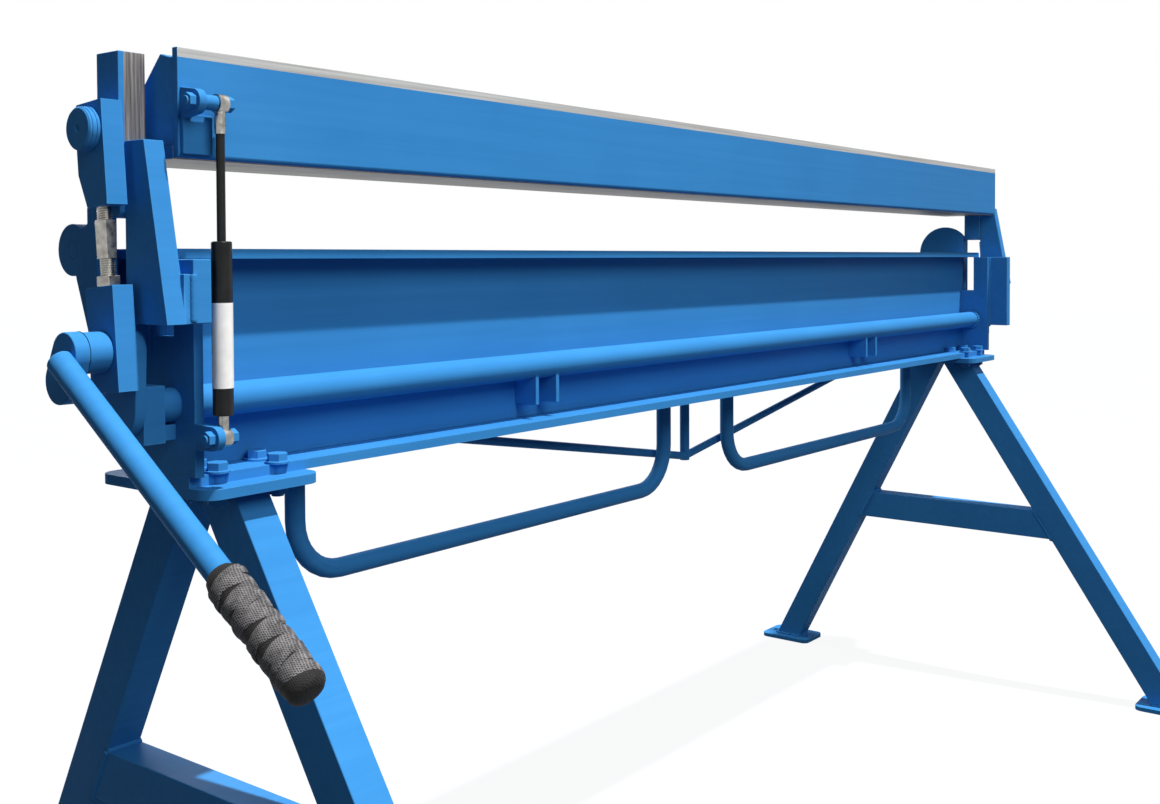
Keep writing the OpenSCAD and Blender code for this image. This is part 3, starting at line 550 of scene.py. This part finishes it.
def spring_label():
    """A film round the cylinder, from LABEL_TOP to LABEL_FOOT of its height down from the top."""
    low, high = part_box("gas_cylinder")
    middle = (low + high) / 2
    tall = high.z - low.z
    top = high.z - LABEL_TOP * tall
    foot = high.z - LABEL_FOOT * tall
    radius = (high.x - low.x) / 2 + LABEL_GAP
    shape = bmesh.new()
    bmesh.ops.create_cone(shape, cap_ends=False, segments=LABEL_STEPS, radius1=radius, radius2=radius,
                          depth=top - foot)
    bmesh.ops.solidify(shape, geom=shape.faces[:], thickness=LABEL_FILM)
    bmesh.ops.recalc_face_normals(shape, faces=shape.faces)
    bmesh.ops.translate(shape, vec=(middle.x, middle.y, (top + foot) / 2), verts=shape.verts)
    finished("spring_label", shape, "frame", [LABEL])


spring_label()


# Threads of the pull links' adjusting rods

PIVOT_OFFSET = 17 * MM
LINK_LENGTH = 195.305 * MM
LINK_LEAN = math.asin(PIVOT_OFFSET / LINK_LENGTH)
THREAD_FROM = 66 * MM
THREAD_TO = 127 * MM
THREAD_PITCH = 2.0 * MM
THREAD_ROOT = 5.6 * MM
THREAD_CREST = 6.6 * MM
THREAD_STEPS = 20


def thread(side):
    shape = bmesh.new()
    ring = [(THREAD_ROOT, 0, -0.9 * MM), (THREAD_CREST, 0, -0.15 * MM), (THREAD_CREST, 0, 0.15 * MM),
            (THREAD_ROOT, 0, 0.9 * MM)]
    wound(shape, ring, THREAD_PITCH, round((THREAD_TO - THREAD_FROM) / THREAD_PITCH), THREAD_STEPS)
    bmesh.ops.recalc_face_normals(shape, faces=shape.faces)
    bmesh.ops.translate(shape, vec=(0, 0, THREAD_FROM), verts=shape.verts)
    leaned = Matrix.Translation(joint_at["link_" + side + "_swing"]) @ Matrix.Rotation(-LINK_LEAN, 4, "X")
    bmesh.ops.transform(shape, matrix=leaned, verts=shape.verts)
    finished("thread_" + side, shape, "link_" + side, [ZINC])


for side in SIDES:
    thread(side)


# Weld beads

RIPPLE_PITCH = 5 * MM
BEAD_STEPS = 10
RING_STEPS = 8
LEVEL_FIND = 0.1 * MM
WELD_SMOOTH = 60


def joined(shape, piece, axis, centre):
    """Turns a piece made along Z onto an axis, moves it to its centre and adds it to shape."""
    turned_to = Vector((0, 0, 1)).rotation_difference(Vector(axis)).to_matrix().to_4x4()
    bmesh.ops.transform(piece, matrix=Matrix.Translation(Vector(centre)) @ turned_to, verts=piece.verts)
    held = bpy.data.meshes.new("held")
    piece.to_mesh(held)
    piece.free()
    shape.from_mesh(held)
    bpy.data.meshes.remove(held)


def swell(phase):
    """A bead's share of its full radius, which rises once in each ripple."""
    return 0.86 + 0.2 * abs(math.sin(math.pi * phase))


def bead(shape, start, end, radius):
    """A rippled bead of weld metal from start to end."""
    start = Vector(start)
    end = Vector(end)
    long = (end - start).length
    piece = bmesh.new()
    bmesh.ops.create_cone(piece, cap_ends=True, segments=BEAD_STEPS, radius1=radius, radius2=radius,
                          depth=long)
    rails = [e for e in piece.edges if abs(e.verts[0].co.z - e.verts[1].co.z) > long / 2]
    ripples = max(2, round(long / RIPPLE_PITCH))
    bmesh.ops.subdivide_edges(piece, edges=rails, cuts=ripples * 2 - 1)
    for vert in piece.verts:
        share = swell((vert.co.z / long + 0.5) * ripples)
        vert.co.x *= share
        vert.co.y *= share
    joined(shape, piece, end - start, (start + end) / 2)


def ring_bead(shape, centre, axis, reach, radius):
    """A rippled bead all round a tube of radius reach."""
    ripples = round(FULL_TURN * reach / RIPPLE_PITCH)
    piece = bmesh.new()
    bmesh.ops.create_circle(piece, segments=RING_STEPS, radius=radius)
    bmesh.ops.rotate(piece, verts=piece.verts, cent=(0, 0, 0), matrix=Matrix.Rotation(math.pi / 2, 3, "X"))
    bmesh.ops.translate(piece, verts=piece.verts, vec=(reach, 0, 0))
    bmesh.ops.spin(piece, geom=piece.verts[:] + piece.edges[:], cent=(0, 0, 0), axis=(0, 0, 1),
                   angle=FULL_TURN, steps=ripples * 4, use_merge=True, use_duplicate=False)
    bmesh.ops.remove_doubles(piece, verts=piece.verts, dist=MERGE)
    for vert in piece.verts:
        around = math.atan2(vert.co.y, vert.co.x) / FULL_TURN * ripples
        spine = Vector((vert.co.x, vert.co.y, 0)).normalized() * reach
        vert.co = spine + (vert.co - spine) * swell(around)
    joined(shape, piece, axis, centre)


def welded(name, shape, body):
    bmesh.ops.recalc_face_normals(shape, faces=shape.faces)
    finished(name, shape, body, [BLUE], smooth=WELD_SMOOTH)


def corners_at(node, level):
    """The corners of a node at a height."""
    return [v.co for v in frame["nodes"][node].data.vertices if abs(v.co.z - level) < LEVEL_FIND]


def reach_at(node, level):
    """The least and greatest Y of a node's corners at a height."""
    found = [corner.y for corner in corners_at(node, level)]
    return min(found), max(found)


CROSSBAR_BEAD = 4 * MM
CROSSBAR_SIDE_BEAD = 2.6 * MM
LEG_BEAD = 3.4 * MM
LEG_SIDE_BEAD = 3.0 * MM
LEG_LIFT = 1 * MM


def stand_welds(side):
    """The crossbar to its legs, and the legs to their foot plates and top plate."""
    shape = bmesh.new()
    bar = "crossbar_" + side
    low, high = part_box(bar)
    for above, below in zip(reach_at(bar, high.z), reach_at(bar, low.z)):
        bead(shape, (low.x, above, high.z), (high.x, above, high.z), CROSSBAR_BEAD)
        bead(shape, (low.x, below, low.z), (high.x, below, low.z), CROSSBAR_BEAD)
        for x in (low.x, high.x):
            bead(shape, (x, above, high.z), (x, below, low.z), CROSSBAR_SIDE_BEAD)
    for end in ("rear", "front"):
        leg = "leg_" + side + "_" + end
        low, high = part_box(leg)
        for level, lift in ((low.z, LEG_LIFT), (high.z, -LEG_LIFT)):
            near, far = reach_at(leg, level)
            z = level + lift
            for y in (near, far):
                bead(shape, (low.x, y, z), (high.x, y, z), LEG_BEAD)
            for x in (low.x, high.x):
                bead(shape, (x, near, z), (x, far, z), LEG_SIDE_BEAD)
    welded("stand_welds_" + side, shape, "frame")


UPRIGHT_BEAD = 4 * MM
UPRIGHT_BEAD_IN = 4 * MM
UPRIGHT_BEAD_FROM = 2 * MM
UPRIGHT_BEAD_TO = 44 * MM
BRACKET_BEAD = 3.4 * MM
ARM_BEAD = 3.6 * MM
ARM_BEAD_LENGTH = 38 * MM


def frame_welds():
    """Uprights to their brackets, brackets and hinge arms to the end plates."""
    shape = bmesh.new()
    for side, sign in SIDES.items():
        outer = 1 if sign > 0 else 0
        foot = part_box("upright_" + side)[0]
        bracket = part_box("side_bracket_" + side)
        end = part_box("end_plate_" + side)
        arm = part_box("hinge_arm_" + side)[0]
        step = bracket[outer].x
        y = foot.y + UPRIGHT_BEAD_IN
        bead(shape, (step, y, foot.z + UPRIGHT_BEAD_FROM), (step, y, foot.z + UPRIGHT_BEAD_TO), UPRIGHT_BEAD)
        face = end[outer].x
        bead(shape, (face, end[0].y, bracket[0].z), (face, end[0].y, bracket[1].z), BRACKET_BEAD)
        bead(shape, (face, arm.y, arm.z), (face, arm.y, arm.z + ARM_BEAD_LENGTH), ARM_BEAD)
    welded("frame_welds", shape, "frame")


HANDLE_RADIUS = 11 * MM
HANDLE_BEAD = 3 * MM
POST_RADIUS = 7.5 * MM
TRUSS_BEAD = 2.6 * MM
TRUSS_BEAD_IN = 26 * MM
TRUSS_BEAD_HALF = 22 * MM
TRUSS_ROD_HALF = 5 * MM
TRUSS_BEAD_DROP = 1 * MM


def apron_welds():
    """Handle legs, truss post and truss rods to the apron's flange."""
    shape = bmesh.new()
    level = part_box("apron_flange")[0].z
    tubes = corners_at("handles", level)
    depth = sum(v.y for v in tubes) / len(tubes)
    outer = max(v.x for v in tubes) - HANDLE_RADIUS
    inner = min(v.x for v in tubes if v.x > 0) + HANDLE_RADIUS
    for x in (-outer, -inner, inner, outer):
        ring_bead(shape, (x, depth, level), (0, 0, 1), HANDLE_RADIUS, HANDLE_BEAD)
    low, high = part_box("truss")
    middle = (low.y + high.y) / 2
    ring_bead(shape, (0, middle, level), (0, 0, 1), POST_RADIUS, TRUSS_BEAD)
    z = level - TRUSS_BEAD_DROP
    for x in (low.x + TRUSS_BEAD_IN, high.x - TRUSS_BEAD_IN):
        for y in (middle - TRUSS_ROD_HALF, middle + TRUSS_ROD_HALF):
            bead(shape, (x - TRUSS_BEAD_HALF, y, z), (x + TRUSS_BEAD_HALF, y, z), TRUSS_BEAD)
    welded("apron_welds", shape, "apron")


COLLAR_IN = 4 * MM
COLLAR_RISE = 0.5 * MM
COLLAR_BEAD = 3.4 * MM


def crank_welds():
    """A bead round the torsion tube inside each end plate, which keeps the tube in place."""
    shape = bmesh.new()
    low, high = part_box("torsion_tube")
    middle = (low + high) / 2
    reach = (high.z - low.z) / 2 + COLLAR_RISE
    for side, sign in SIDES.items():
        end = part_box("end_plate_" + side)
        x = (end[0].x if sign > 0 else end[1].x) - sign * COLLAR_IN
        ring_bead(shape, (x, middle.y, middle.z), (1, 0, 0), reach, COLLAR_BEAD)
    welded("crank_welds", shape, "crank")


for side in SIDES:
    stand_welds(side)
frame_welds()
apron_welds()
crank_welds()


# Light, floor and background

SUN_FROM = Vector((0.1, -0.355, 0.93))
SUN_ENERGY = 5.0
SUN_ANGLE = 0.03
SUN_COLOUR = (1.0, 0.96, 0.92)
SKY_FILL = linear("#383d44")
WHITE = linear("#ffffff")
FLOOR_TONE = linear("#40454b")
FLOOR_GLOW = 0.92
FLOOR_SIZE = 20


def lamp(name, kind, energy, shines_from):
    """A lamp turned so that it shines from a direction."""
    made = bpy.data.objects.new(name, bpy.data.lights.new(name, kind))
    made.data.energy = energy
    made.rotation_euler = shines_from.to_track_quat("Z", "Y").to_euler()
    scene.collection.objects.link(made)
    return made


def soft_box(name, size, energy, place, target):
    made = lamp(name, "AREA", energy, Vector(place) - Vector(target))
    made.data.shape = "SQUARE"
    made.data.size = size
    made.location = place


def seen_white(tree):
    """One for rays from the eye and for reflections, which then show the white background."""
    path = add(tree, "ShaderNodeLightPath").outputs
    direct = add(tree, "ShaderNodeMath", links={0: path["Is Camera Ray"], 1: path["Is Glossy Ray"]},
                 operation="ADD")
    return add(tree, "ShaderNodeMath", links={0: direct.outputs["Value"], 1: path["Is Transmission Ray"]},
               operation="ADD", use_clamp=True).outputs["Value"]


sun = lamp("sun", "SUN", SUN_ENERGY, SUN_FROM)
sun.data.color = SUN_COLOUR
sun.data.angle = SUN_ANGLE
# one lights the feed side faces, most of all at the lever end, and one the apron side
soft_box("feed_side_lamp", 1.4, 31, (-1.1, -2.0, 2.3), (-0.8, 0, 0.9))
soft_box("apron_side_lamp", 2.5, 60, (0.5, 3.2, 2.2), (0, 0, 0.7))

world = bpy.data.worlds.new("studio")
world.use_nodes = True
scene.world = world
sky = world.node_tree
tint = add(sky, "ShaderNodeMix", {"A": SKY_FILL, "B": WHITE}, {"Factor": seen_white(sky)}, data_type="RGBA")
feed(sky, sky.nodes["Background"], {}, {"Color": tint.outputs["Result"]})

# a matt painted studio floor, which takes the shadow and looks white itself
pale = bpy.data.materials.new("pale_studio_floor")
pale.use_nodes = True
matt = pale.node_tree
glow = add(matt, "ShaderNodeMapRange", {"To Max": FLOOR_GLOW}, {"Value": seen_white(matt)})
feed(matt, matt.nodes["Principled BSDF"],
     {"Base Color": FLOOR_TONE, "Roughness": 0.9, "Specular IOR Level": 0.0, "Emission Color": WHITE},
     {"Emission Strength": glow.outputs["Result"]})
floor_shape = bmesh.new()
bmesh.ops.create_grid(floor_shape, x_segments=1, y_segments=1, size=FLOOR_SIZE)
floor_mesh = bpy.data.meshes.new("floor")
floor_shape.to_mesh(floor_mesh)
floor_shape.free()
floor_mesh.materials.append(pale)
floor = bpy.data.objects.new("floor", floor_mesh)
scene.collection.objects.link(floor)
